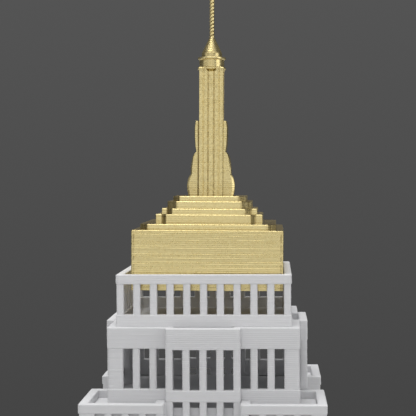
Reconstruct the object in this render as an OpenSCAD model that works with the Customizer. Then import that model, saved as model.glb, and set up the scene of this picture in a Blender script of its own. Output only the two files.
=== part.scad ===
// Miniature stepped skyscraper: a hollow white tower with slot windows, and a loose gold crown
// that stands in the open gallery at its top. Millimetres, +Z up, origin in the middle of the
// underside of the base plate.

/* [Tower] */
// Height of the gallery's top edge above the table
deck_z = 120; // [110:1:140]
// Outside width of the gallery walls
gallery_w = 17.7; // [17.6:0.1:18.2]
// Outside width of the upper tier, without its bays
upper_w = 19.3; // [19.2:0.1:19.6]
// Outside width over the corner wings
shaft_w = 24.4; // [24.2:0.1:25]
// Width of a centre bay
bay_w = 7.48; // [7.4:0.02:7.5]
// How far a centre bay stands in front of the upper tier
bay_proud = 0.88; // [0.7:0.02:1]

/* [Walls] */
// Thickness of the gallery walls
gallery_wall = 0.8; // [0.7:0.05:0.8]
// Thickness of the upper tier's walls
upper_wall = 0.85; // [0.85:0.05:1]
// Thickness of the wing walls and of the rims round their trays
wing_wall = 0.95; // [0.9:0.05:1]
// Thickness of the walls of the setbacks and the podium
lower_wall = 1.2; // [1:0.1:1.6]

/* [Windows] */
// Distance from one window to the next
pitch = 1.68; // [1.68:0.01:1.7]
// Width of a window slot
slot_w = 0.9; // [0.85:0.01:0.91]

/* [Lower tiers] */
// Length of the base plate
base_l = 62; // [62:1:70]
// Depth of the base plate
base_d = 48; // [48:1:54]
// Thickness of the base plate
base_t = 2.4; // [2:0.2:3]
// Length of the podium
podium_l = 54; // [53:0.5:58]
// Depth of the podium
podium_d = 40; // [39:0.5:44]
// Height of the podium's roof above the table
podium_z = 12; // [11:0.5:14]
// Length of the lower setback
lower_l = 41; // [40:0.5:44]
// Depth of the lower setback
lower_d = 33; // [32.5:0.5:35]
// Height of the lower setback's roof above the table
lower_z = 33; // [31:1:35]
// Length of the middle setback
middle_l = 32; // [31.5:0.5:34]
// Depth of the middle setback
middle_d = 28; // [28:0.5:30]
// Height of the middle setback's roof above the table
middle_z = 47; // [45:1:49]

/* [Crown] */
// Width of the crown's square block
block_w = 15.42; // [15.2:0.02:15.5]
// Height of the block's underside below the gallery's top edge
block_sunk = 1.75; // [1.5:0.05:2]
// Height of the block's top above the gallery's top edge
block_rise = 4.35; // [4:0.05:5]
// How far the loose crown stands to the right of the tower's middle
crown_shift = 0.28; // [0:0.01:0.28]
// Width of the square mast
mast_w = 2.54; // [2.4:0.02:2.7]
// Height of the mast's top above the gallery's top edge
mast_rise = 21.27; // [20:0.1:23]
// Length of the antenna above the cap
antenna_l = 14.4; // [10:0.2:18]
// Diameter of the antenna
antenna_d = 0.5; // [0.46:0.02:0.6]

/* [Hidden] */

white = [0.86, 0.86, 0.87];
gold = [0.83, 0.72, 0.42];
round_fn = 48;
// a cutter runs this far past the face that it opens
past = 1;
// a chamfer this close to the whole notch fills it
tiny = 0.01;

// heights of the upper works, all measured down from the gallery's top edge
gallery_h = 5.2;
gallery_slot_top = 0.97;
gallery_slot_bottom = 4.03;
upper_slot_top = 7.33;
upper_slot_bottom = 11.35;
wing_drop = 12.4;
tray_depth = 0.8;
slab_t = 1.1;
wing_slot_drop = 0.95;
bay_sill = 1.15;

upper_z = deck_z - gallery_h;
wing_z = deck_z - wing_drop;
tray_z = wing_z - tray_depth;

// rows of windows down the shaft
shaft_rows = 6;
row_band = 1.2;
shaft_slot_top = wing_z - wing_slot_drop;
row_h = (shaft_slot_top - middle_z) / shaft_rows;
bay_slot_top = deck_z - upper_slot_bottom - bay_sill;

bay_half = bay_w / 2;
bay_out = upper_w / 2 + bay_proud;
// half widths of the four sides' window groups, as multiples of the pitch
bay_columns = [-1.5, -0.5, 0.5, 1.5];
gallery_columns = [for (i = [-4.5:1:4.5]) i];
upper_columns = [2.5, 3.5, 4.5];
wing_columns = [3, 4, 5, 6];
// the two posts at the ends of a bay run back to meet the upper tier's corners
bay_post = bay_half - 1.5 * pitch - slot_w / 2;

roof_t = 1.4;
rim_h = 0.9;
base_corner_r = 1.5;
base_edge = 0.6;

// the crown's stepped plates: [half width outside, half width of the front part, top above the deck,
// how far the chamfer in the notch reaches]
steps = [
  [6.95, 6.13, 4.93, 0.82],
  [5.55, 4.40, 5.87, 0.50],
  [4.98, 3.83, 6.45, 0.60],
  [4.40, 3.40, 7.20, 1.00],
  [3.82, 3.12, 7.73, 0.70]
];
mast_foot = deck_z + steps[4][2];
mast_top = deck_z + mast_rise;
mast_groove = 0.12;
mast_groove_x = 0.30;
buttress_t = 2.2;
// a buttress's leaves from the bottom up: half widths of the crown at the leaf's foot, belly and
// top, and the heights of its foot and top above the deck
leaves = [
  [2.40, 2.55, 2.20, 7.73, 10.05],
  [2.16, 2.08, 1.74, 10.05, 12.36],
  [1.58, 1.76, 1.66, 12.36, 15.68]
];
// a leaf's outline swells past the straight lines from foot to belly and from belly to top, at
// these shares of its height
low_swell = 0.04;
low_share = 0.25;
high_swell = 0.06;
high_share = 0.78;
rest_column = 2;
rest_w = 0.7;
rest_l = 0.75;
rest_t = 0.3;
lip_r = 1.5;
lip_t = 0.2;
drum_r = 1.34;
drum_h = 0.8;
collar_h = 2 * lip_t + drum_h;
cap_r = 1.1;
cap_straight = 0.6;
cap_cone = 1.55;
cap_top = mast_top + collar_h + cap_straight + cap_cone;

// a wall along X whose outer face lies at y = -out, cut by one row of slots for each [bottom, top]
module slotted_wall(from, to, out, wall, z0, z1, columns, rows) {
  difference() {
    translate([from, -out, z0]) cube([to - from, wall, z1 - z0]);
    for (c = columns, r = rows)
      translate([c * pitch - slot_w / 2, -out - past, r[0]])
        cube([slot_w, wall + 2 * past, r[1] - r[0]]);
  }
}

// rows of equal windows between two heights, with a band above and below each
function even_rows(z0, z1, count, band) =
  let (h = (z1 - z0 - band) / count)
  [for (i = [0:count - 1]) [z0 + band + i * h, z0 + (i + 1) * h]];

// columns centred on the middle of a wall, as many as fit between its solid ends
function even_columns(length, ends) =
  let (n = floor((length - 2 * ends) / pitch))
  [for (i = [0:n - 1]) i - (n - 1) / 2];

shaft_windows = [for (i = [0:shaft_rows - 1])
  [shaft_slot_top - (i + 1) * row_h + row_band, shaft_slot_top - i * row_h]];

// the bay's windows follow the shaft's rows, but its top row starts higher
bay_windows = concat(
  [[deck_z - upper_slot_bottom, deck_z - upper_slot_top]],
  [[shaft_windows[0][0], bay_slot_top]],
  [for (i = [1:shaft_rows - 1]) shaft_windows[i]]
);

// ---- base and lower tiers ----

module rounded_slab(l, d, t, r) {
  linear_extrude(height = t) {
    square([l - 2 * r, d], center = true);
    square([l, d - 2 * r], center = true);
    for (sx = [-1, 1], sy = [-1, 1])
      translate([sx * (l / 2 - r), sy * (d / 2 - r)]) circle(r = r, $fn = round_fn);
  }
}

module base_plate() {
  color(white) {
    rounded_slab(base_l, base_d, base_t - base_edge, base_corner_r);
    translate([0, 0, base_t - base_edge])
      rounded_slab(base_l - 2 * base_edge, base_d - 2 * base_edge, base_edge, base_corner_r);
  }
}

// the front wall of a lower tier; its back wall is the same one turned half round
module tier_front(l, d, z0, z1, rows) {
  color(white)
    slotted_wall(-l / 2, l / 2, d / 2, lower_wall, z0, z1,
      even_columns(l, 2 * lower_wall), even_rows(z0, z1 - roof_t - rim_h, rows, row_band));
}

// the right wall of a lower tier stands between the front and the back one
module tier_right(l, d, z0, z1, rows) {
  color(white) rotate(90)
    slotted_wall(-d / 2 + lower_wall, d / 2 - lower_wall, l / 2, lower_wall, z0, z1,
      even_columns(d, 2 * lower_wall), even_rows(z0, z1 - roof_t - rim_h, rows, row_band));
}

module tier_roof(l, d, z1) {
  color(white) translate([0, 0, z1 - rim_h - roof_t / 2])
    cube([l - 2 * lower_wall, d - 2 * lower_wall, roof_t], center = true);
}

podium_rows = 1;
lower_rows = 2;
middle_rows = 2;
lower_z0 = podium_z - rim_h;
middle_z0 = lower_z - rim_h;
shaft_z0 = middle_z - rim_h;

module podium_wall_front() { tier_front(podium_l, podium_d, base_t, podium_z, podium_rows); }
module podium_wall_back() { rotate(180) podium_wall_front(); }
module podium_wall_right() { tier_right(podium_l, podium_d, base_t, podium_z, podium_rows); }
module podium_wall_left() { rotate(180) podium_wall_right(); }
module podium_roof() { tier_roof(podium_l, podium_d, podium_z); }

module lower_wall_front() { tier_front(lower_l, lower_d, lower_z0, lower_z, lower_rows); }
module lower_wall_back() { rotate(180) lower_wall_front(); }
module lower_wall_right() { tier_right(lower_l, lower_d, lower_z0, lower_z, lower_rows); }
module lower_wall_left() { rotate(180) lower_wall_right(); }
module lower_roof() { tier_roof(lower_l, lower_d, lower_z); }

module middle_wall_front() { tier_front(middle_l, middle_d, middle_z0, middle_z, middle_rows); }
module middle_wall_back() { rotate(180) middle_wall_front(); }
module middle_wall_right() { tier_right(middle_l, middle_d, middle_z0, middle_z, middle_rows); }
module middle_wall_left() { rotate(180) middle_wall_right(); }
module middle_roof() { tier_roof(middle_l, middle_d, middle_z); }

// ---- shaft ----

// one face of a wing: the outer wall and the short return beside the bay, on the side x < 0
module wing_face(from) {
  out = shaft_w / 2;
  slotted_wall(from, -bay_half, out, wing_wall, shaft_z0, wing_z,
    [for (c = wing_columns) -c], shaft_windows);
  translate([-bay_half - wing_wall, -out, shaft_z0])
    cube([wing_wall, out - upper_w / 2, wing_z - shaft_z0]);
}

// the wing at the front left corner; the others are mirror images of it
module wing() {
  color(white) {
    wing_face(-shaft_w / 2);
    mirror([1, -1, 0]) wing_face(-shaft_w / 2);
  }
}

module wing_front_left() { wing(); }
module wing_front_right() { mirror([1, 0, 0]) wing(); }
module wing_back_left() { mirror([0, 1, 0]) wing(); }
module wing_back_right() { rotate(180) wing(); }

module bay() {
  color(white) {
    slotted_wall(-bay_half, bay_half, bay_out, bay_proud, shaft_z0, upper_z,
      bay_columns, bay_windows);
    for (x = [-bay_half, bay_half - bay_post])
      translate([x, -upper_w / 2, tray_z]) cube([bay_post, upper_wall, upper_z - tray_z]);
  }
}

module bay_front() { bay(); }
module bay_right() { rotate(90) bay(); }
module bay_back() { rotate(180) bay(); }
module bay_left() { rotate(270) bay(); }

// the slab that floors the wings' trays and the tower at their level
module shaft_roof() {
  inner = shaft_w - 2 * wing_wall;
  narrow = upper_w;
  notch = bay_w + 2 * wing_wall;
  color(white) translate([0, 0, tray_z - slab_t]) linear_extrude(height = slab_t)
    difference() {
      square(inner, center = true);
      for (a = [0:90:270]) rotate(a)
        translate([-notch / 2, narrow / 2]) square([notch, inner]);
    }
}

// ---- upper tier ----

module upper_corner() {
  rows = [[deck_z - upper_slot_bottom, deck_z - upper_slot_top]];
  columns = [for (c = upper_columns) -c];
  out = upper_w / 2;
  color(white) {
    slotted_wall(-out, -bay_half, out, upper_wall, tray_z, upper_z, columns, rows);
    mirror([1, -1, 0])
      slotted_wall(-out, -bay_half, out, upper_wall, tray_z, upper_z, columns, rows);
  }
}

module upper_corner_front_left() { upper_corner(); }
module upper_corner_front_right() { mirror([1, 0, 0]) upper_corner(); }
module upper_corner_back_left() { mirror([0, 1, 0]) upper_corner(); }
module upper_corner_back_right() { rotate(180) upper_corner(); }

// the gallery's floor, with a lower tongue that floors the tray on top of each bay
module upper_roof() {
  inner = upper_w - 2 * upper_wall;
  tongue = bay_w - 2 * bay_post;
  color(white) {
    translate([-inner / 2, -inner / 2, upper_z - slab_t]) cube([inner, inner, slab_t]);
    for (a = [0:90:270]) rotate(a)
      translate([-tongue / 2, inner / 2, upper_z - slab_t])
        cube([tongue, upper_wall, slab_t - tray_depth]);
  }
}

// ---- gallery ----

module gallery_wall(trim) {
  rows = [[deck_z - gallery_slot_bottom, deck_z - gallery_slot_top]];
  half = gallery_w / 2 - trim;
  color(white)
    slotted_wall(-half, half, gallery_w / 2, gallery_wall, upper_z, deck_z, gallery_columns, rows);
}

module gallery_wall_front() { gallery_wall(0); }
module gallery_wall_back() { rotate(180) gallery_wall(0); }
module gallery_wall_right() { rotate(90) gallery_wall(gallery_wall); }
module gallery_wall_left() { rotate(270) gallery_wall(gallery_wall); }

// four small brackets that carry the crown, each behind a post of the front or back wall
module crown_rests() {
  inner = gallery_w / 2 - gallery_wall;
  color(white) for (sx = [-1, 1], sy = [-1, 1])
    translate([sx * rest_column * pitch, sy * (inner - rest_l / 2), deck_z - block_sunk - rest_t / 2])
      cube([rest_w, rest_l, rest_t], center = true);
}

// ---- crown ----

module crown_block() {
  color(gold) translate([crown_shift - block_w / 2, -block_w / 2, deck_z - block_sunk])
    cube([block_w, block_w, block_sunk + block_rise]);
}

// the outline of a square plate whose corners are notched back: a chamfer fills the inner corner of
// each notch, or all of it
function notched(outer, front, chamfer) =
  let (corner = chamfer < outer - front - tiny
    ? [[front, -outer], [front, -front - chamfer], [front + chamfer, -front], [outer, -front]]
    : [[front, -outer], [outer, -front]])
  [for (a = [0:90:270], p = corner) [p[0] * cos(a) - p[1] * sin(a), p[0] * sin(a) + p[1] * cos(a)]];

module crown_step(i) {
  bottom = i == 0 ? block_rise : steps[i - 1][2];
  color(gold) translate([crown_shift, 0, deck_z + bottom])
    linear_extrude(height = steps[i][2] - bottom)
      polygon(notched(steps[i][0], steps[i][1], steps[i][3]));
}

module mast_shaft() {
  color(gold) translate([crown_shift, 0, mast_foot])
    linear_extrude(height = mast_top - mast_foot) difference() {
      square(mast_w, center = true);
      for (a = [0:90:270], s = [-1, 1]) rotate(a)
        translate([s * mast_groove_x - mast_groove / 2, mast_w / 2 - mast_groove])
          square([mast_groove, 2 * mast_groove]);
    }
}

// one leaf of a buttress: its outer edge swells from the foot to the belly and in to the top
module leaf(foot, belly, top, z0, z1) {
  inner = mast_w / 2;
  polygon([
    [inner, z0], [foot, z0], [(foot + belly) / 2 + low_swell, z0 + low_share * (z1 - z0)],
    [belly, (z0 + z1) / 2], [(belly + top) / 2 + high_swell, z0 + high_share * (z1 - z0)],
    [top, z1], [inner, z1]
  ]);
}

module mast_buttress_right() {
  color(gold) translate([crown_shift, buttress_t / 2, deck_z]) rotate([90, 0, 0])
    linear_extrude(height = buttress_t)
      for (l = leaves) leaf(l[0], l[1], l[2], l[3], l[4]);
}

module mast_buttress_left() {
  translate([2 * crown_shift, 0, 0]) mirror([1, 0, 0]) mast_buttress_right();
}

module mast_collar() {
  color(gold) translate([crown_shift, 0, mast_top]) {
    cylinder(r = lip_r, h = lip_t, $fn = round_fn);
    translate([0, 0, lip_t]) cylinder(r = drum_r, h = drum_h, $fn = round_fn);
    translate([0, 0, lip_t + drum_h]) cylinder(r = lip_r, h = lip_t, $fn = round_fn);
  }
}

module mast_cap() {
  color(gold) translate([crown_shift, 0, mast_top + collar_h]) rotate_extrude($fn = round_fn)
    polygon([
      [0, 0], [cap_r, 0], [cap_r, cap_straight], [antenna_d / 2, cap_straight + cap_cone],
      [0, cap_straight + cap_cone]
    ]);
}

module antenna() {
  color(gold) translate([crown_shift, 0, cap_top]) cylinder(d = antenna_d, h = antenna_l, $fn = round_fn);
}

base_plate();
podium_wall_front();
podium_wall_back();
podium_wall_left();
podium_wall_right();
podium_roof();
lower_wall_front();
lower_wall_back();
lower_wall_left();
lower_wall_right();
lower_roof();
middle_wall_front();
middle_wall_back();
middle_wall_left();
middle_wall_right();
middle_roof();
wing_front_left();
wing_front_right();
wing_back_left();
wing_back_right();
bay_front();
bay_back();
bay_left();
bay_right();
shaft_roof();
upper_corner_front_left();
upper_corner_front_right();
upper_corner_back_left();
upper_corner_back_right();
upper_roof();
gallery_wall_front();
gallery_wall_back();
gallery_wall_left();
gallery_wall_right();
crown_rests();
crown_block();
crown_step(0);  // crown_step_1
crown_step(1);  // crown_step_2
crown_step(2);  // crown_step_3
crown_step(3);  // crown_step_4
crown_step(4);  // crown_step_5
mast_shaft();
mast_buttress_left();
mast_buttress_right();
mast_collar();
mast_cap();
antenna();
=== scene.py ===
import math

import bpy
import numpy as np
from mathutils import Matrix, Vector


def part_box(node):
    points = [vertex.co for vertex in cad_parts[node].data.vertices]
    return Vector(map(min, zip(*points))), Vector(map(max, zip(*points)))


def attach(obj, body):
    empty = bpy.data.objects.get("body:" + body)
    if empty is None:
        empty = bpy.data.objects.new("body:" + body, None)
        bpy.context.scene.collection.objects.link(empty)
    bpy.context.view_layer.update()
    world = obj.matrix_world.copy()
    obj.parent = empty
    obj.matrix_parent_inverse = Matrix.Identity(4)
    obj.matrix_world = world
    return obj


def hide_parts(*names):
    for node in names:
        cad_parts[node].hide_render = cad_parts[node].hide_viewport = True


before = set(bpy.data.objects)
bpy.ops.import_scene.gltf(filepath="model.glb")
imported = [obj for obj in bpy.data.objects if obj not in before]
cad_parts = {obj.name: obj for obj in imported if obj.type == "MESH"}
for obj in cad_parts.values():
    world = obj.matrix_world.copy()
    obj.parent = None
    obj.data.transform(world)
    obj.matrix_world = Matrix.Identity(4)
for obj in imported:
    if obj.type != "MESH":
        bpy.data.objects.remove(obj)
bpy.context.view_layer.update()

# Shapes are worked out in millimetres and put into the meshes in metres.
MM = 0.001
LAYER = 0.2        # height of one printed layer
NOZZLE = 0.4       # width of one printed line
ROOT2 = math.sqrt(2)
RIM_ROWS = 4       # rows of points round each rim
TINY = 1e-6        # keeps a row that lies on a layer's edge in the layer above it
WAVES = 3          # sine waves in the play of a layer
STRAY_MOST = 2.5   # a layer strays at most this many times the usual amount either way


def box(node):
    """Lowest and highest corner of a CAD node, in millimetres."""
    low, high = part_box(node)
    return np.array(low) / MM, np.array(high) / MM


# ---------------------------------------------------------------- printed surfaces


def outline(corners, radius, around, between):
    """The nozzle's path round a shape, counter-clockwise, with its corners rounded.

    Where two straight edges with outward normals n0 and n1 meet at p, the arc's centre is
    p - s r (n0 + n1) / (1 + n0.n1), with s = 1 at an outer corner and -1 at an inner one, and a
    point of the arc is the centre + s r n, where n turns evenly from n0 to n1. Each straight run
    gets `between` more points, closer together near its ends: its share is (1 - cos pi k) / 2.
    Returns the points, their outward normals, and the distance along the path."""
    p = np.array(corners, float)
    ahead = np.roll(p, -1, 0) - p
    length = np.hypot(*ahead.T)
    after = np.stack([ahead[:, 1], -ahead[:, 0]], -1) / length[:, None]
    before = np.roll(after, 1, 0)
    turn = np.arctan2(before[:, 0] * after[:, 1] - before[:, 1] * after[:, 0],
                      (before * after).sum(1))
    side = np.sign(turn)[:, None]
    centre = p - side * radius * (before + after) / (1 + (before * after).sum(1))[:, None]
    start = np.arctan2(before[:, 1], before[:, 0])
    angle = start[:, None] + turn[:, None] * np.linspace(0, 1, around + 1)
    normal = np.stack([np.cos(angle), np.sin(angle)], -1)
    arc = centre[:, None] + side[:, None] * radius * normal
    share = (1 - np.cos(np.pi * np.arange(1, between + 1) / (between + 1))) / 2
    run = arc[:, -1:] + share[:, None] * (np.roll(arc[:, 0], -1, 0)[:, None] - arc[:, -1:])
    run_normal = np.broadcast_to(after[:, None], run.shape)
    points = np.concatenate([arc, run], 1).reshape(-1, 2)
    normals = np.concatenate([normal, run_normal], 1).reshape(-1, 2)
    steps = np.hypot(*(np.roll(points, -1, 0) - points).T)
    return points, normals, np.concatenate([[0], np.cumsum(steps)])


def heights(z0, z1, per_layer, bead, edge):
    """The rows up a printed side: each row's height, how far it lies inside, and its layer.

    Every layer bulges: a row at the share f of its layer lies bead (2 f - 1)^2 inside. The two
    rims are quarter circles of radius `edge`: z1 - e + e sin a, set in by e (1 - cos a)."""
    grid = np.arange(math.ceil(z0 / LAYER * per_layer), math.floor(z1 / LAYER * per_layer) + 1)
    z = grid * LAYER / per_layer
    z = z[(z > z0 + edge * 1.05) & (z < z1 - edge * 1.05)]
    a = np.linspace(0, np.pi / 2, RIM_ROWS)
    bend, drop = edge * (1 - np.cos(a)), edge * np.sin(a)
    z = np.concatenate([(z0 + edge - drop)[::-1], z, z1 - edge + drop])
    share = np.mod(z / LAYER + TINY, 1)
    inside = bead * (2 * share - 1) ** 2
    inside[:RIM_ROWS] += bend[::-1]
    inside[-RIM_ROWS:] += bend
    return z, inside, np.floor(z / LAYER + TINY).astype(int)


def play(rng, layers, along, amount):
    """How far each layer strays inwards: a share of its own, and three sine waves round the path
    with whole numbers of turns, so that they close."""
    total = along[-1]
    s = along[:-1] / total
    count = layers.max() - layers.min() + 1
    turns = rng.integers(1, max(3, int(total / 3)), (count, WAVES))
    phase = rng.uniform(0, 2 * np.pi, (count, WAVES))
    size = rng.normal(0, 0.45, (count, WAVES))
    waves = (size[..., None] * np.sin(2 * np.pi * turns[..., None] * s + phase[..., None])).sum(1)
    stray = amount * (rng.normal(0, 0.7, (count, 1)) + waves)
    most = STRAY_MOST * amount
    stray = np.clip(stray, -most, most) - most
    return stray[layers - layers.min()]


class Print:
    """One printed piece: the shells of its outlines, gathered and put into a mesh. Its layers
    bulge by `bead`, stray by about `stray` and are rounded at the rims by `edge`."""

    def __init__(self, seed, bead=0.02, stray=0.006, edge=0.11, per_layer=3):
        self.rng = np.random.default_rng(seed)
        self.bead, self.stray, self.edge, self.per_layer = bead, stray, edge, per_layer
        self.shells = []

    def rows(self, corners, z0, z1, radius, around, between, outward=1):
        """A grid of points, one row for each height, set in by the layers' relief. `outward` is
        -1 for a hole, whose sides face its middle."""
        points, normals, along = outline(corners, radius, around, between)
        z, inside, layer = heights(z0, z1, self.per_layer, self.bead, self.edge)
        off = play(self.rng, layer, along, self.stray) - inside[:, None]
        xy = points + normals * (outward * off)[..., None]
        return np.concatenate([xy, np.broadcast_to(z[:, None, None], xy.shape[:2] + (1,))], -1)

    def solid(self, corners, z0, z1, radius=0.18, around=3, between=6):
        """A prism on an outline, with a lid at each end."""
        self.shells.append((self.rows(corners, z0, z1, radius, around, between), False))
        return self

    def ring(self, outer, inner, z0, z1, radius=0.18, around=3, between=24):
        """A closed wall: its section runs up the outer side and down the inner one."""
        up = self.rows(outer, z0, z1, radius, around, between)
        down = self.rows(inner, z0, z1, radius * 0.5, around, between, -1)[::-1]
        self.shells.append((np.concatenate([up, down]), True))
        return self

    def turned(self, quarters):
        """The same piece turned by quarter turns about Z: (x, y) becomes (-y, x)."""
        for grid, _ in self.shells:
            for _ in range(quarters):
                grid[..., 0], grid[..., 1] = -grid[..., 1].copy(), grid[..., 0].copy()
        return self

    def moved(self, change):
        """The same piece with its points passed through change(points)."""
        self.shells = [(change(grid), closed) for grid, closed in self.shells]
        return self

    def piece(self, name, material, body, slot, nodes, hollow=None, sharp=38):
        """Puts the shells into one mesh. A shell is a grid of rows and columns whose quads face
        outwards. It is closed along its columns, and either along its rows or by two lids. Where
        the darkening is given, it is how dark each point is painted, from 0 to 1: a dullness of the
        piece, and painted shade in its grooves, pits, seams and valleys."""
        points, loops, sizes, base = [], [], [], 0
        for grid, closed in self.shells:
            r, c = grid.shape[:2]
            index = base + np.arange(r * c).reshape(r, c)
            index = np.concatenate([index, index[:, :1]], 1)
            if closed:
                index = np.concatenate([index, index[:1]])
            quads = np.stack([index[:-1, :-1], index[:-1, 1:], index[1:, 1:], index[1:, :-1]], -1)
            points.append(grid.reshape(-1, 3))
            loops.append(quads.ravel())
            sizes.append(np.full(quads.size // 4, 4))
            if not closed:
                loops += [index[0, -2::-1], index[-1, :-1]]
                sizes.append(np.array([c, c]))
            base += r * c
        made = put(name, np.concatenate(points), np.concatenate(loops), np.concatenate(sizes),
                   material, body, nodes, sharp)
        if hollow is not None:
            shade = made.data.attributes.new("hollow", "FLOAT", "POINT")
            shade.data.foreach_set("value", np.clip(hollow, 0, 1).astype(np.float32).ravel())
        return made


def put(name, points, loops, sizes, material, body, nodes, sharp):
    """A mesh from points in millimetres and its faces' corner lists, with its finish, body and
    nodes."""
    mesh = bpy.data.meshes.new(name)
    mesh.vertices.add(len(points))
    mesh.vertices.foreach_set("co", (points * MM).astype(np.float32).ravel())
    mesh.loops.add(len(loops))
    mesh.loops.foreach_set("vertex_index", loops.astype(np.int32))
    mesh.polygons.add(len(sizes))
    starts = np.concatenate([[0], np.cumsum(sizes)[:-1]])
    mesh.polygons.foreach_set("loop_start", starts.astype(np.int32))
    mesh.update(calc_edges=True)
    mesh.validate()
    mesh.shade_smooth()
    mesh.set_sharp_from_angle(angle=math.radians(sharp))
    mesh.materials.append(material)
    piece = bpy.data.objects.new(name, mesh)
    bpy.context.scene.collection.objects.link(piece)
    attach(piece, body)
    if nodes:
        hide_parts(*nodes)
    return piece


def rectangle(x0, x1, y0, y1):
    """Corners of a rectangle, counter-clockwise."""
    return [(x0, y0), (x1, y0), (x1, y1), (x0, y1)]


def square(half):
    return rectangle(-half, half, -half, half)


# ---------------------------------------------------------------- finishes


class Value:
    """A number socket of a shader. Arithmetic on it adds Math nodes."""

    def __init__(self, shader, socket):
        self.shader, self.socket = shader, socket

    def _with(self, operation, *values):
        return self.shader.node("ShaderNodeMath", {"operation": operation},
                                dict(enumerate(values)))

    def __add__(self, other):
        return self._with("ADD", self, other)

    def __sub__(self, other):
        return self._with("SUBTRACT", self, other)

    def __rsub__(self, other):
        return self._with("SUBTRACT", other, self)

    def __mul__(self, other):
        return self._with("MULTIPLY", self, other)

    def __truediv__(self, other):
        return self._with("DIVIDE", self, other)

    def __pow__(self, other):
        return self._with("POWER", self, other)

    __radd__, __rmul__ = __add__, __mul__

    def whole(self):
        return self._with("FLOOR", self)

    def part(self):
        return self._with("FRACT", self)

    def above(self, level):
        return self._with("GREATER_THAN", self, level)

    def ramp(self, low, high):
        """0 up to `low`, 1 from `high` on, and a smooth step between."""
        return self.shader.node("ShaderNodeMapRange", {"interpolation_type": "SMOOTHSTEP"},
                                {"Value": self, "From Min": low, "From Max": high})


class Shader:
    """The node tree of a material, or of the room round it."""

    def __init__(self, made, surface="Principled BSDF"):
        made.use_nodes = True
        self.made, self.tree = made, made.node_tree
        self.surface = self.tree.nodes[surface]

    def node(self, kind, settings, inputs, output=0):
        """Adds a node: its settings first, then each input's value or link. Returns an output."""
        made = self.tree.nodes.new(kind)
        for key, value in settings.items():
            setattr(made, key, value)
        for key, value in inputs.items():
            self.feed(made.inputs[key], value)
        return Value(self, made.outputs[output])

    def feed(self, socket, value):
        if isinstance(value, Value):
            self.tree.links.new(value.socket, socket)
        else:
            socket.default_value = value

    def finish(self, **sockets):
        for name, value in sockets.items():
            self.feed(self.surface.inputs[name.replace("_", " ")], value)
        return self.made

    def place(self):
        """Object coordinates, and the X, Y and Z values of them in millimetres."""
        at = self.node("ShaderNodeTexCoord", {}, {}, "Object")
        millimetres = self.node("ShaderNodeVectorMath", {"operation": "SCALE"},
                                {0: at, "Scale": 1 / MM})
        return millimetres, self.split(millimetres)

    def facing(self):
        """X, Y and Z of the way the surface faces."""
        return self.split(self.node("ShaderNodeTexCoord", {}, {}, "Normal"))

    def split(self, vector):
        first = self.node("ShaderNodeSeparateXYZ", {}, {0: vector})
        return [Value(self, part) for part in first.socket.node.outputs]

    def joined(self, x, y, z):
        return self.node("ShaderNodeCombineXYZ", {}, {0: x, 1: y, 2: z})

    def noise(self, at, scale, detail=2.0, roughness=0.5):
        return self.node("ShaderNodeTexNoise", {"noise_dimensions": "3D"},
                         {"Vector": at, "Scale": scale, "Detail": detail,
                          "Roughness": roughness})

    def random(self, value):
        """A fixed random number for each value."""
        return self.node("ShaderNodeTexWhiteNoise", {"noise_dimensions": "1D"}, {"W": value})

    def grain(self, at, scale):
        """A fixed random number for each small cube of space."""
        cubes = self.node("ShaderNodeVectorMath", {"operation": "SCALE"}, {0: at, "Scale": scale})
        cubes = self.node("ShaderNodeVectorMath", {"operation": "FLOOR"}, {0: cubes})
        return self.node("ShaderNodeTexWhiteNoise", {"noise_dimensions": "3D"}, {"Vector": cubes})

    def mix(self, share, first, second):
        """A colour between two colours, given as links or as red, green and blue."""
        first, second = (c if isinstance(c, Value) else (*c, 1) for c in (first, second))
        return self.node("ShaderNodeMix", {"data_type": "RGBA"},
                         {"Factor": share, 6: first, 7: second}, 2)

    def bump(self, height, strength):
        return self.node("ShaderNodeBump", {}, {"Height": height, "Strength": strength,
                                                "Distance": BUMP_DEPTH})

    def layer(self, z):
        """The number of the printed layer at a height."""
        return ((z + 0.001) / LAYER).whole()


BUMP_DEPTH = 0.02 * MM


def raster(x, y, up):
    """Height of the lines that fill a level top: ridges a nozzle wide along X + Y, on top only."""
    across = (x + y) / ROOT2 / NOZZLE
    return (1 - (across.part() * 2 - 1) ** 2) * up.above(0.8)


def white_plastic():
    """Matt white filament. The tint wanders a little from layer to layer and from patch to patch,
    and the sides carry the grain of the drawn line, stretched along the layer. Below the gallery
    the white is painted a shade darker: painted shade for the light falling off down the tower."""
    s = Shader(bpy.data.materials.new("white_matt_filament"))
    at, (x, y, z) = s.place()
    up = s.facing()[2]
    patch = s.noise(at, 0.35, 3.0)
    tone = s.random(s.layer(z)) * 0.35 + patch * 0.65
    drawn = s.noise(s.joined(x * 0.9, y * 0.9, z * 9), 1.0, 3.0, 0.6)
    # painted shade: below the gallery the white is mixed darker, for the light falling off lower
    # down
    colour = s.mix(z.ramp(*PAINTED_SHADE_SPAN),
                   s.mix(tone, (0.678, 0.678, 0.692), (0.714, 0.714, 0.723)),
                   s.mix(tone, (0.747, 0.747, 0.762), (0.785, 0.785, 0.795)))
    height = drawn * 0.7 + raster(x, y, up) * 1.2 + s.noise(at, 5.0, 2.0) * 0.4
    return s.finish(
        Base_Color=colour,
        Roughness=tone * 0.12 + drawn * 0.1 + 0.46,
        Normal=s.bump(height, 0.55),
        IOR=1.46, Specular_IOR_Level=0.42)


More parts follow.
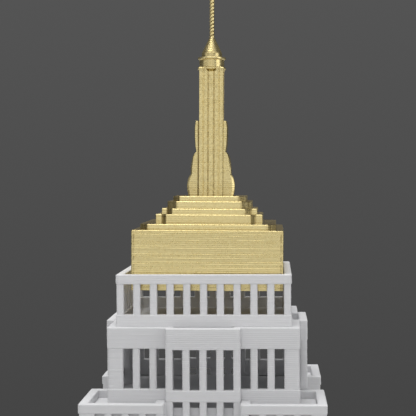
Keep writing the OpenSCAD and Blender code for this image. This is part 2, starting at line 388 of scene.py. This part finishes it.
def gold_plastic():
    """Gold silk filament: pearly flakes in a clear plastic. Each layer has its own shine, the
    drawn line is streaked along its length, and every tenth of a millimetre has its own glint.
    Where its darkening is above 0 the gold is painted darker: a little dullness, and painted shade
    in grooves, pits, seams and valleys. Level tops are painted darker too, as painted shade."""
    s = Shader(bpy.data.materials.new("gold_silk_filament"))
    at, (x, y, z) = s.place()
    up = s.facing()[2]
    own = s.random(s.layer(z))
    streak = s.noise(s.joined(x * 3.0, y * 3.0, z * 9), 1.0, 3.0, 0.6)
    flake = s.noise(at, 5.0, 2.0, 0.7)
    glint = s.grain(at, 9.0)
    tone = own * 0.12 + streak * 0.34 + flake * 0.36 + glint * 0.18
    colour = s.mix(tone.ramp(0.08, 0.74), (0.80, 0.63, 0.255), (1.0, 0.855, 0.445))
    # painted shade: this attribute darkens grooves, pits, seams and valleys besides a little
    # dullness, and level tops are painted darker
    hollow = s.node("ShaderNodeAttribute", {"attribute_name": "hollow"}, {}, "Fac")
    colour = s.mix(hollow + up.ramp(0.7, 0.98) * 0.5, colour, (0.17, 0.1, 0.02))
    height = streak * 0.15 + raster(x, y, up) * 0.4 + flake * 0.25 + glint * 0.15
    return s.finish(
        Base_Color=colour,
        Metallic=0.95,
        Roughness=own * 0.04 + streak * 0.06 + glint * 0.08 + 0.215,
        Normal=s.bump(height, 0.44),
        IOR=1.5, Specular_IOR_Level=0.5)


WHITE, GOLD = "white_matt_plastic", "gold_silk_plastic"
DECK = box("gallery_wall_front")[1][2]     # height of the gallery's edge
PAINTED_SHADE_SPAN = (DECK - 7, DECK - 4)       # where the painted shade of the lower tiers gives way to the gallery's brighter white
white, gold = white_plastic(), gold_plastic()


# ---------------------------------------------------------------- the white tower

PITCH, SLOT = 1.68, 0.9            # from one window to the next, and a window's width
HALF_SLOT = SLOT / 2
FOOT = 0.15                        # how far a wall's foot runs into the roof that it stands on
BITE = 0.11                        # how far a post runs into the band above and below it
POST_SET = 0.08                    # how far a post stands behind the face of its bands
ROW_BAND = 1.2                     # height of the band between two rows of windows
UPPER_WALL, WING_WALL = 0.85, 0.95 # thickness of the walls of the upper tier and of the wings
WING_BAND, BAY_BAND = 0.95, 1.15   # bands above the first windows of a wing and of a bay's shaft
FINE_BELOW = 10                    # the bays' layers are drawn finely this far below the trays
FILLER, FILLER_SET = 0.3, 0.07     # half width of the joint filler, and how far back it stands


def posts_between(columns, first=None, last=None):
    """The stretches of wall between windows, from and to, with the ends given."""
    edges = [e for c in sorted(columns) for e in (c * PITCH - HALF_SLOT, c * PITCH + HALF_SLOT)]
    if first is not None:
        edges = [first] + edges + [last]
    else:
        edges = edges[1:-1]
    return list(zip(edges[::2], edges[1::2]))


def angle_shape(outer, inner, leg):
    """An L at the front left corner: its two legs end at x = leg and at y = leg."""
    return [(-outer, -outer), (leg, -outer), (leg, -inner), (-inner, -inner), (-inner, leg),
            (-outer, leg)]


# gallery: a ring of ten windows a side
g_low, g_high = box("gallery_wall_front")
g_half = g_high[0]
g_in = -box("gallery_wall_left")[1][0]
GALLERY_SILL, GALLERY_HEAD = DECK - 4.03, DECK - 0.97
gallery = Print(11)
gallery.ring(square(g_half), square(g_in), g_low[2] - FOOT, GALLERY_SILL)
gallery.ring(square(g_half), square(g_in), GALLERY_HEAD, DECK, radius=0.3)
g_columns = np.arange(-4.5, 5)
g_out = g_half - POST_SET
corner_post = 4.5 * PITCH + HALF_SLOT
for quarter in range(4):
    for a, b in posts_between(g_columns):
        gallery.solid(rectangle(a, b, -g_out, -g_in - POST_SET * 0.5), GALLERY_SILL - BITE,
                      GALLERY_HEAD + BITE, between=2)
    gallery.solid(rectangle(-g_out, -corner_post, -g_out, -corner_post), GALLERY_SILL - BITE,
                  GALLERY_HEAD + BITE, between=2)
    gallery.turned(1)
gallery.piece("gallery_print", white, "tower", WHITE,
              ["gallery_wall_" + side for side in ("front", "right", "back", "left")])

# upper tier: four corners with three windows in each face
SIDES = ("front", "right", "back", "left")
CORNERS = ("front_left", "front_right", "back_right", "back_left")
u_low, u_high = box("upper_corner_front_left")
u_half = -u_low[0]
u_in = u_half - UPPER_WALL
bay_half = -u_high[0]
UPPER_SILL, UPPER_HEAD = DECK - 11.35, DECK - 7.33
u_columns = [-4.5, -3.5, -2.5]
u_out = u_half - POST_SET
for quarter, corner in enumerate(CORNERS):
    tier = Print(20 + quarter)
    for z0, z1 in ((u_low[2], UPPER_SILL), (UPPER_HEAD, u_high[2])):
        tier.solid(angle_shape(u_half, u_in, -bay_half + FOOT), z0, z1, between=8)
    tier.solid(angle_shape(u_out, u_in + POST_SET * 0.5, -corner_post), UPPER_SILL - BITE,
               UPPER_HEAD + BITE, between=2)
    for a, b in posts_between(u_columns):
        for shape in (rectangle(a, b, -u_out, -u_in - POST_SET * 0.5),
                      rectangle(-u_out, -u_in - POST_SET * 0.5, a, b)):
            tier.solid(shape, UPPER_SILL - BITE, UPPER_HEAD + BITE, between=2)
    tier.turned(quarter).piece("upper_corner_" + corner + "_print", white, "tower", WHITE,
                               ["upper_corner_" + corner])

# shaft: rows of windows down the wings and bays
w_low, w_high = box("wing_front_left")
w_half = -w_low[0]
w_in = w_half - WING_WALL
SHAFT_FOOT, WING_TOP = w_low[2], w_high[2]
SHAFT_HEAD = WING_TOP - WING_BAND
SHAFT_ROWS = 6
MIDDLE_TOP = box("middle_wall_front")[1][2]
row_h = (SHAFT_HEAD - MIDDLE_TOP) / SHAFT_ROWS
shaft_windows = [(SHAFT_HEAD - (i + 1) * row_h + ROW_BAND, SHAFT_HEAD - i * row_h)
                 for i in range(SHAFT_ROWS)]


def bands(windows, bottom, top):
    """The stretches of wall above, between and below rows of windows, from the top down."""
    edges = [top] + [z for low, high in windows for z in (high, low)] + [bottom]
    return [(low, high) for high, low in zip(edges[::2], edges[1::2])]


w_columns = [-6, -5, -4, -3]
w_out = w_half - POST_SET
w_corner = 6 * PITCH + HALF_SLOT
return_in = bay_half + WING_WALL
w_shape = [(-w_half, -w_half), (-bay_half, -w_half), (-bay_half, -u_half),
           (-return_in, -u_half), (-return_in, -w_in), (-w_in, -w_in), (-w_in, -return_in),
           (-u_half, -return_in), (-u_half, -bay_half), (-w_half, -bay_half)]
for quarter, corner in enumerate(CORNERS):
    wing = Print(30 + quarter, per_layer=2)
    for z0, z1 in bands(shaft_windows, SHAFT_FOOT, WING_TOP):
        wing.solid(w_shape, z0, z1, radius=0.16, between=5)
    for row, (low, high) in enumerate(shaft_windows):
        span = (low - BITE, high + BITE)
        round_by = 1 if row else 2
        wing.solid(angle_shape(w_out, w_in + POST_SET * 0.5, -w_corner), *span, around=round_by,
                   between=0)
        for a, b in posts_between(w_columns):
            for shape in (rectangle(a, b, -w_out, -w_in - POST_SET * 0.5),
                          rectangle(-w_out, -w_in - POST_SET * 0.5, a, b)):
                wing.solid(shape, *span, around=round_by, between=0)
        end = -3 * PITCH + HALF_SLOT
        for shape in (rectangle(end, -bay_half, -w_out, -u_half),
                      rectangle(-w_out, -u_half, end, -bay_half)):
            wing.solid(shape, *span, around=round_by, between=0)
    wing.turned(quarter).piece("wing_" + corner + "_print", white, "tower", WHITE,
                               ["wing_" + corner])

b_low, b_high = box("bay_front")
b_half = b_high[0]
b_out = -b_low[1]
b_back = -b_high[1]
UPPER_TOP = b_high[2]
TRAY = u_low[2]
bay_post = b_half - 1.5 * PITCH - HALF_SLOT
bay_windows = ([(UPPER_SILL, UPPER_HEAD), (shaft_windows[0][0], UPPER_SILL - BAY_BAND)]
               + shaft_windows[1:])
for quarter, side in enumerate(SIDES):
    bay = Print(40 + quarter)
    for z0, z1 in bands(bay_windows, SHAFT_FOOT, UPPER_TOP):
        bay.per_layer = 3 if z0 > WING_TOP - 5 else 2
        bay.solid(rectangle(-b_half, b_half, -b_out, -u_half), z0, z1, between=8)
    for low, high in bay_windows:
        fine = low > WING_TOP - FINE_BELOW
        bay.per_layer = 3 if fine else 2
        span = (low - BITE, high + BITE)
        for a, b in posts_between([-1.5, -0.5, 0.5, 1.5], -b_half, b_half):
            bay.solid(rectangle(a, b, -b_out + POST_SET * 0.5, -u_half), *span,
                      around=2 if fine else 1, between=0)
    for x in (-b_half, b_half):    # fills the joint between bay and wing
        bay.solid(rectangle(x - FILLER, x + FILLER, -b_out + FILLER_SET, -u_half - 0.05),
                  SHAFT_FOOT + 0.1, WING_TOP - 0.15, radius=0.1, around=1, between=0)
    for x in (-b_half, b_half - bay_post):
        bay.solid(rectangle(x, x + bay_post, -u_half - BITE, -b_back), TRAY, UPPER_TOP, between=1)
    bay.turned(quarter).piece("bay_" + side + "_print", white, "tower", WHITE, ["bay_" + side])


# lower tiers
def even_rows(z0, z1, count):
    """Rows of windows of equal height between z0 and z1, from the top down."""
    h = (z1 - z0 - ROW_BAND) / count
    return [(z0 + ROW_BAND + i * h, z0 + (i + 1) * h) for i in reversed(range(count))]


def even_columns(length, ends):
    """Numbers of the window columns that fit in a wall, with its two ends left solid."""
    n = math.floor((length - 2 * ends) / PITCH)
    return np.arange(n) - (n - 1) / 2


LOWER_WALL, ROOF_T, RIM_H = 1.2, 1.4, 0.9
for seed, (tier_name, count) in enumerate((("podium", 1), ("lower", 2), ("middle", 2))):
    low, high = box(tier_name + "_wall_front")
    hx, hy = high[0], -low[1]
    windows = even_rows(low[2], high[2] - ROOF_T - RIM_H, count)
    tier = Print(50 + seed, edge=0.07, per_layer=2)
    for z0, z1 in bands(windows, low[2], high[2]):
        tier.ring(rectangle(-hx, hx, -hy, hy),
                  rectangle(-hx + LOWER_WALL, hx - LOWER_WALL, -hy + LOWER_WALL, hy - LOWER_WALL),
                  z0, z1, between=8)
    x_columns = even_columns(2 * hx, 2 * LOWER_WALL)
    y_columns = even_columns(2 * hy, 2 * LOWER_WALL)
    ox, oy = hx - POST_SET, hy - POST_SET
    ix, iy = hx - LOWER_WALL + POST_SET / 2, hy - LOWER_WALL + POST_SET / 2
    ex, ey = x_columns[-1] * PITCH + HALF_SLOT, y_columns[-1] * PITCH + HALF_SLOT
    tier.per_layer = 1
    for z0, z1 in windows:
        span = (z0 - BITE, z1 + BITE)
        for a, b in posts_between(x_columns):
            for shape in (rectangle(a, b, -oy, -iy), rectangle(a, b, iy, oy)):
                tier.solid(shape, *span, around=1, between=0)
        for a, b in posts_between(y_columns):
            for shape in (rectangle(-ox, -ix, a, b), rectangle(ix, ox, a, b)):
                tier.solid(shape, *span, around=1, between=0)
        front_left = [(-ox, -oy), (-ex, -oy), (-ex, -iy), (-ix, -iy), (-ix, -ey), (-ox, -ey)]
        for shape in (front_left, [(-x, -y) for x, y in front_left],
                      [(-x, y) for x, y in front_left][::-1],
                      [(x, -y) for x, y in front_left][::-1]):
            tier.solid(shape, *span, around=1, between=0)
    tier.piece(tier_name + "_walls_print", white, "tower", WHITE,
               [tier_name + "_wall_" + side for side in SIDES])

p_low, p_high = box("base_plate")
BASE_STEP = 0.6
plate = Print(60, edge=0.1)
plate.solid(rectangle(p_low[0], p_high[0], p_low[1], p_high[1]), p_low[2], p_high[2] - BASE_STEP,
            radius=1.5, around=8, between=20)
plate.solid(rectangle(p_low[0] + BASE_STEP, p_high[0] - BASE_STEP, p_low[1] + BASE_STEP,
                      p_high[1] - BASE_STEP), p_high[2] - BASE_STEP - BITE, p_high[2],
            radius=1.5, around=8, between=20)
plate.piece("base_plate_print", white, "tower", WHITE, ["base_plate"])

for node in ("podium_roof", "lower_roof", "middle_roof", "shaft_roof", "upper_roof",
             "crown_rests"):
    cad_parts[node].data.materials.clear()
    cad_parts[node].data.materials.append(white)


# ---------------------------------------------------------------- the gold crown

k_low, k_high = box("crown_block")
CROWN_X = (k_low[0] + k_high[0]) / 2
LEAN = math.radians(0.6)           # the loose crown leans a little to the right


def leaning(points):
    """Turned by the lean about the middle of the block's underside, which still rests flat."""
    x, y, z = points[..., 0] - CROWN_X, points[..., 1], points[..., 2] - k_low[2]
    turned_x = x * math.cos(LEAN) + z * math.sin(LEAN)
    turned_z = z * math.cos(LEAN) - x * math.sin(LEAN)
    return np.stack([turned_x + CROWN_X, y, np.maximum(turned_z, 0) + k_low[2]], -1)


def at_crown(shape):
    """An outline moved to the crown's middle."""
    return [(x + CROWN_X, y) for x, y in shape]


GOLD_ROWS = 4                      # rows of points in each layer of the gold


def gold_print(seed, edge=0.07, stray=0.005, bead=0.022):
    """A printed piece of the crown, with finer rows than the white ones."""
    return Print(seed, bead=bead, stray=stray, edge=edge, per_layer=GOLD_ROWS)


def crown_piece(made, name, nodes, hollow=None):
    """Leans a piece of the crown and puts it in."""
    return made.moved(leaning).piece(name, gold, "crown", GOLD, nodes, hollow)


PIT, RING_AT, RING_W = 0.6, 0.26, 0.07    # the row of pits that the head leaves after each corner, painted darker as painted shade
BLOCK_DULL, CAP_DULL, COLLAR_DULL = 0.14, 0.18, 0.09   # these shine a little less than the rest
block = gold_print(70, edge=0.06, stray=0.006, bead=0.020)
k_half = (k_high[0] - k_low[0]) / 2
block.solid(at_crown(square(k_half)), k_low[2], k_high[2], radius=0.15, around=4, between=36)
from_edge = k_half - np.abs(block.shells[0][0][..., :2] - (CROWN_X, 0)).min(-1)
rows = len(from_edge)
pits = block.rng.uniform(0, 1, (rows // GOLD_ROWS + 1, 1)).repeat(GOLD_ROWS, 0)[:rows]
# painted shade: the row of pits a little in from each edge is darker, on some layers more than
# others
crown_piece(block, "crown_block_print", ["crown_block"],
            BLOCK_DULL + PIT * pits * np.exp(-((from_edge - RING_AT) / RING_W) ** 2))


def notched(outer, front, chamfer):
    """A square whose corners are notched back, with a chamfer in the inner corner of each notch."""
    o, f, c = outer, front, chamfer
    if c < o - f - 0.01:
        corner = [(f, -o), (f, -f - c), (f + c, -f), (o, -f)]
    else:
        corner = [(f, -o), (o, -f)]
    shape = []
    for _ in range(4):
        shape += corner
        corner = [(-y, x) for x, y in corner]
    return shape


STEP_SHAPES = ((6.13, 0.82), (4.40, 0.50), (3.83, 0.60), (3.40, 1.00), (3.12, 0.70))
for i, (front, chamfer) in enumerate(STEP_SHAPES):
    node = "crown_step_%d" % (i + 1)
    low, high = box(node)
    outer = (high[0] - low[0]) / 2
    step = gold_print(71 + i, stray=0.003, bead=0.012)
    step.solid(at_crown(notched(outer, front, chamfer)), low[2] - BITE, high[2], radius=0.1,
               between=8)
    aside = np.abs(step.shells[0][0][..., :2] - (CROWN_X, 0))
    notch = (aside.min(-1) > front - 0.1) & (aside[..., 0] < min(outer, front + chamfer + 0.05))
    stripes = step.rng.uniform(0, 1, aside.shape[1])
    # painted shade: the faces of the notches are darker, in random upright stripes
    crown_piece(step, node + "_print", [node], notch * (0.12 + 0.6 * stripes ** 1.5))

m_low, m_high = box("mast_shaft")
m_half = m_high[1]
GROOVE_X, GROOVE_W, GROOVE_D = 0.30, 0.12, 0.12    # the two grooves' place, width and depth
FAINT_X, FAINT_D = 0.82, 0.012     # place and depth of the fainter ones
HEAD_H, HEAD_DENT, HEAD_FLARE = 0.55, 0.24, 0.06   # the pillars' heads below the collar
HEAD_MIDDLE = 0.5                  # half width of the dent between the heads
MAST_DULL = 0.04


def grooved(half):
    """The mast's square with two narrow grooves in each face, and a fainter one on each side."""
    h = half
    face = []
    for x, d in ((-FAINT_X, FAINT_D), (-GROOVE_X, GROOVE_D), (GROOVE_X, GROOVE_D),
                 (FAINT_X, FAINT_D)):
        a, b = x - GROOVE_W / 2, x + GROOVE_W / 2
        face += [(a, -h), (a, -h + d), (b, -h + d), (b, -h)]
    corners = []
    for quarter in range(4):
        c, s = round(math.cos(quarter * math.pi / 2)), round(math.sin(quarter * math.pi / 2))
        corners += [(x * c - y * s, x * s + y * c) for x, y in [(-h, -h)] + face]
    return corners


mast = Print(80, stray=0.0015, bead=0.016, edge=0.07, per_layer=3)
mast.solid(at_crown(grooved(m_half)), m_low[2] - BITE, m_high[2] + BITE, radius=0.02, around=1,
           between=4)
grid = mast.shells[0][0]
face = grid[..., :2] - (CROWN_X, 0)
depth = np.clip((m_half - 0.01 - np.abs(face).max(-1)) / GROOVE_D, 0, 1)
layer = np.floor(grid[:, :1, 2] / LAYER + TINY).astype(int)
layer -= layer.min()
pit = mast.rng.uniform(0, 1, (layer.max() + 1, grid.shape[1]))[layer[:, 0]]
head = np.clip((grid[..., 2] - (m_high[2] - HEAD_H)) / HEAD_H, 0, 1) ** 2
outermost = np.abs(face) > 0.8 * m_half
middle = (np.abs(face).min(-1) < HEAD_MIDDLE) & outermost.any(-1)
dent = head * np.where(middle, HEAD_DENT, -HEAD_FLARE)
# painted shade: darker at random pits and in the grooves, and much darker in the dent between the
# heads, under the collar's shadow; MAST_DULL dulls all of it
mast_painted_shade = MAST_DULL + 0.24 * pit ** 2 + depth * (0.5 * pit - 0.05) + 0.8 * head * middle
face = np.where(outermost, face * (1 - dent / m_half)[..., None], face)
grid[..., :2] = face + (CROWN_X, 0)
crown_piece(mast, "mast_shaft_print", ["mast_shaft"], mast_painted_shade)

# buttresses: the outer edge swells and draws in, three leaves high
RIM_SHARE, RIM_SET = 0.80, 0.16    # a leaf's chamfer: where it starts, and how far it falls back
SEAM = {"left": 0.12, "right": 0.02}   # width of the seam between a buttress and the mast
SEAM_D = 0.35                      # and its depth
SIDE_SHADE = {"left": 0.05, "right": 0.3}    # how much painted shade darkens a buttress's outer side: the right one, away from the key light, far more
FIN_DULL = 0.07                    # and how dull all of it is
# each leaf's half width at its foot, belly and top, and its two heights above the deck
LEAVES = ((2.40, 2.55, 2.20, 7.73, 10.05), (2.16, 2.08, 1.74, 10.05, 12.36),
          (1.58, 1.76, 1.66, 12.36, 15.68))
LOW_SWELL, HIGH_SWELL, SHOULDER = 0.04, 0.06, 0.07


def leaf_edge(z):
    """Half width of the leaves at a height above the deck. It runs straight through the foot, the
    swell, the belly, the second swell and the top, and a leaf with another above it is drawn in at
    its shoulder by 0.07 times the square of the share of its last tenth."""
    width = np.zeros_like(z)
    for foot, belly, top, z0, z1 in LEAVES:
        f = (z - z0) / (z1 - z0)
        swell = np.interp(f, [0, 0.25, 0.5, 0.78, 1],
                          [foot, (foot + belly) / 2 + LOW_SWELL, belly,
                              (belly + top) / 2 + HIGH_SWELL, top])
        if z1 < LEAVES[-1][4]:
            swell -= SHOULDER * np.clip((f - 0.9) / 0.1, 0, 1) ** 2
        width = np.where((f >= 0) & (f <= 1), swell, width)
    return width


for side, sign in (("left", -1), ("right", 1)):
    node = "mast_buttress_" + side
    low, high = box(node)
    half_t = high[1]
    fin = gold_print(81 + (sign > 0), edge=0.04, stray=0.002, bead=0.016)
    # the section is drawn one unit wide, then stretched out to the leaf's edge at each height
    seat, rim_t = half_t - SEAM_D, half_t - RIM_SET
    fin.solid([(-0.2, -seat), (0, -seat), (0, -half_t), (RIM_SHARE, -half_t), (1, -rim_t),
               (1, rim_t), (RIM_SHARE, half_t), (0, half_t), (0, seat), (-0.2, seat)],
              low[2] - BITE, high[2], radius=0.03, between=2)
    grid = fin.shells[0][0]
    seam = (grid[..., 0] < 0.01) & (np.abs(grid[..., 1]) < seat + 0.1)
    width = leaf_edge(np.clip(grid[..., 2] - DECK, LEAVES[0][3], LEAVES[-1][4]))
    inner = m_half + SEAM[side]
    x = inner + grid[..., 0] * np.where(grid[..., 0] < 0, 1, width - inner)
    grid[..., 0] = CROWN_X + sign * x
    if sign < 0:
        fin.shells[0] = (grid[:, ::-1], False)
    rim = np.abs(grid[..., 0] - CROWN_X) > width - 0.05
    # painted shade: random pits, the seam beside the mast, and the outer side, darker on the right,
    # away from the key light
    pits = 0.2 * fin.rng.uniform(0, 1, grid.shape[:2]) ** 2
    shade = FIN_DULL + pits + 0.5 * seam + SIDE_SHADE[side] * rim
    crown_piece(fin, node + "_print", [node], shade[:, ::-1] if sign < 0 else shade)


def lathe(profile, around=64):
    """A turned shape: each row of the profile (radius, height) swept round the crown's middle."""
    angle = 2 * np.pi * np.arange(around) / around
    r, z = np.array(profile, float).T
    x = CROWN_X + r[:, None] * np.cos(angle)
    y = r[:, None] * np.sin(angle)
    return np.stack([x, y, np.broadcast_to(z[:, None], x.shape)], -1)


def turned_profile(points, bead=0.02):
    """Rows of a lathe profile through points (radius, height), with the bulge of each layer."""
    r, z = np.array(points, float).T
    along = np.concatenate([[0], np.cumsum(np.hypot(np.diff(r), np.diff(z)))])
    s = np.union1d(np.arange(0, along[-1], LAYER / GOLD_ROWS), along)
    r, z = np.interp(s, along, r), np.interp(s, along, z)
    share = np.mod(z / LAYER + TINY, 1)
    inside = bead * (2 * share - 1) ** 2
    return np.stack([r - inside, z], -1)


def speckled(made, dull):
    """How much darker each point of a small turned piece is painted: a dullness, and painted shade
    in random pits.
    """
    return dull + 0.4 * made.rng.uniform(0, 1, made.shells[0][0].shape[:2]) ** 3


c_low, c_high = box("mast_collar")
LIP_R, DRUM_R = (c_high[0] - c_low[0]) / 2, 1.34
SAG = 0.14                         # how far the lower lip droops where nothing holds it up
collar = gold_print(90)
z0, z1 = c_low[2], c_high[2]
grid = lathe(turned_profile([
    (LIP_R - 0.06, z0), (LIP_R, z0 + 0.03), (LIP_R, z0 + 0.17), (DRUM_R, z0 + 0.22),
    (DRUM_R, z1 - 0.30), (LIP_R - 0.02, z1 - 0.22), (LIP_R, z1 - 0.18), (LIP_R, z1 - 0.02),
    (LIP_R - 0.03, z1)], bead=0.008))
turned = np.arctan2(grid[..., 1], grid[..., 0] - CROWN_X)
low = np.clip(1 - (grid[..., 2] - z0) / 0.4, 0, 1)
grid[..., 2] -= SAG * low * (0.5 + 0.5 * np.cos(4 * turned)) ** 2
collar.shells.append((grid, False))
crown_piece(collar, "mast_collar_print", ["mast_collar"], speckled(collar, COLLAR_DULL))

t_low, t_high = box("mast_cap")
cap_r = (t_high[0] - t_low[0]) / 2
a_low, a_high = box("antenna")
antenna_r = (a_high[0] - a_low[0]) / 2
cap = gold_print(91)
cap.shells.append((lathe(turned_profile([
    (cap_r, t_low[2] - BITE), (cap_r, t_low[2] + 0.35), (cap_r - 0.03, t_low[2] + 0.5),
    (cap_r - 0.12, t_low[2] + 0.68), (antenna_r + 0.02, t_high[2])])), False))
crown_piece(cap, "mast_cap_print", ["mast_cap"], speckled(cap, CAP_DULL))

# antenna: a rod rolled into two rounded threads, like two strands laid round each other
LEAD = 0.76                        # height of one whole turn
THREAD_R, VALLEY = 0.262, 0.095    # outer radius of the threads, and depth of the valley


def twisted_rod():
    """The radius at angle a and height z is R - V w^4 with w = 2 f - 1, where f is the fractional
    part of 2 (z / lead - a / 2 pi): two threads that climb to the right. Also returns w^4."""
    rise = np.linspace(a_low[2] - 0.3, a_high[2] - 0.03, 900)
    tip = np.sqrt(np.clip((a_high[2] - 0.02 - rise) / 0.12, 0, 1))
    around = 2 * np.pi * np.arange(32) / 32
    f = np.mod(2 * ((rise[:, None] - a_low[2]) / LEAD - around / (2 * np.pi)), 1)
    valley = (2 * f - 1) ** 4
    reach = THREAD_R - VALLEY * valley
    x = CROWN_X + tip[:, None] * reach * np.cos(around)
    y = tip[:, None] * reach * np.sin(around)
    return np.stack([x, y, np.broadcast_to(rise[:, None], x.shape)], -1), valley


twist = gold_print(92)
rod, valley = twisted_rod()
twist.shells.append((rod, False))
# painted shade: the valleys between the threads are darker
crown_piece(twist, "antenna_twist", ["antenna"], valley * 1.3)


# ---------------------------------------------------------------- studio

def disc(name, radius, z, count=96):
    """A flat disc from one ring of points."""
    angle = 2 * np.pi * np.arange(count) / count
    points = np.stack([radius * np.cos(angle), radius * np.sin(angle), np.full(count, z)], -1)
    mesh = bpy.data.meshes.new(name)
    mesh.from_pydata(points.tolist(), [], [list(range(count))])
    made = bpy.data.objects.new(name, mesh)
    bpy.context.scene.collection.objects.link(made)
    return made


def pale_floor():
    """Plain light grey, a little cloudy."""
    s = Shader(bpy.data.materials.new("pale_floor"))
    at, _ = s.place()
    shade = s.noise(at, 0.02, 2.0)
    return s.finish(Base_Color=s.mix(shade, (0.56, 0.56, 0.56), (0.6, 0.6, 0.6)),
                    Roughness=0.7)


floor = disc("floor", 0.44, -0.0002)
floor.data.materials.append(pale_floor())


def area_light(name, place, size, power):
    """A soft rectangular light that faces the upper part of the tower."""
    light = bpy.data.lights.new(name, "AREA")
    light.shape = "RECTANGLE"
    light.size, light.size_y = size
    light.energy = power
    made = bpy.data.objects.new(name, light)
    bpy.context.scene.collection.objects.link(made)
    made.location = place
    made.rotation_mode = "QUATERNION"
    made.rotation_quaternion = (Vector(AIM) - Vector(place)).to_track_quat("-Z", "Y")
    made.visible_camera = False


AIM = (0, 0, 0.115)
area_light("key", (-1.10, -0.68, 0.50), (0.9, 1.1), 1.7)
area_light("front", (-0.05, -1.30, 0.40), (1.75, 1.3), 4.7)
area_light("over", (0.0, -0.80, 1.05), (1.9, 0.8), 3.55)
area_light("fill", (1.15, -0.60, 0.30), (0.8, 0.9), 3.7)
area_light("top", (-0.1, 0.10, 1.25), (1.0, 0.8), 12.5)

# a dark grey room, a little lighter higher up
room = Shader(bpy.data.worlds.new("backdrop"), "Background")
rise = room.split(room.node("ShaderNodeTexCoord", {}, {}, "Generated"))[2]
bpy.context.scene.world = room.finish(Color=room.node(
    "ShaderNodeMapRange", {}, {"Value": rise, "From Min": -0.2, "From Max": 0.16,
                               "To Min": 0.0600, "To Max": 0.0895}))

# camera: beside the tower's axis, a little above the gallery's edge
CAMERA_AT = np.array([7.15, -123.19, DECK + 9.91])
YAW, PITCH_DOWN, ROLL = (math.radians(a) for a in (-3.315, 1.627, 0.367))
FOCAL, FRAME_WIDTH, SENSOR = 1150.4, 416, 36.0


def camera_axes():
    """Right, up and forward: the level axes turned by the yaw, tipped down, then rolled."""
    level_right = np.array([math.cos(YAW), -math.sin(YAW), 0])
    level_ahead = np.array([math.sin(YAW), math.cos(YAW), 0])
    up = np.array([0, 0, 1.0])
    ahead = math.cos(PITCH_DOWN) * level_ahead - math.sin(PITCH_DOWN) * up
    tipped_up = math.sin(PITCH_DOWN) * level_ahead + math.cos(PITCH_DOWN) * up
    right = math.cos(ROLL) * level_right - math.sin(ROLL) * tipped_up
    upward = math.sin(ROLL) * level_right + math.cos(ROLL) * tipped_up
    return right, upward, ahead


right, upward, ahead = camera_axes()
lens = bpy.data.cameras.new("camera")
lens.sensor_width = SENSOR
lens.lens = SENSOR * FOCAL / FRAME_WIDTH
lens.clip_start, lens.clip_end = 0.005, 20
camera = bpy.data.objects.new("camera", lens)
bpy.context.scene.collection.objects.link(camera)
axes = np.eye(4)
axes[:3, 0], axes[:3, 1], axes[:3, 2], axes[:3, 3] = right, upward, -ahead, CAMERA_AT * MM
camera.matrix_world = Matrix(axes.tolist())
bpy.context.scene.camera = camera
bpy.context.scene.view_settings.view_transform = "Standard"
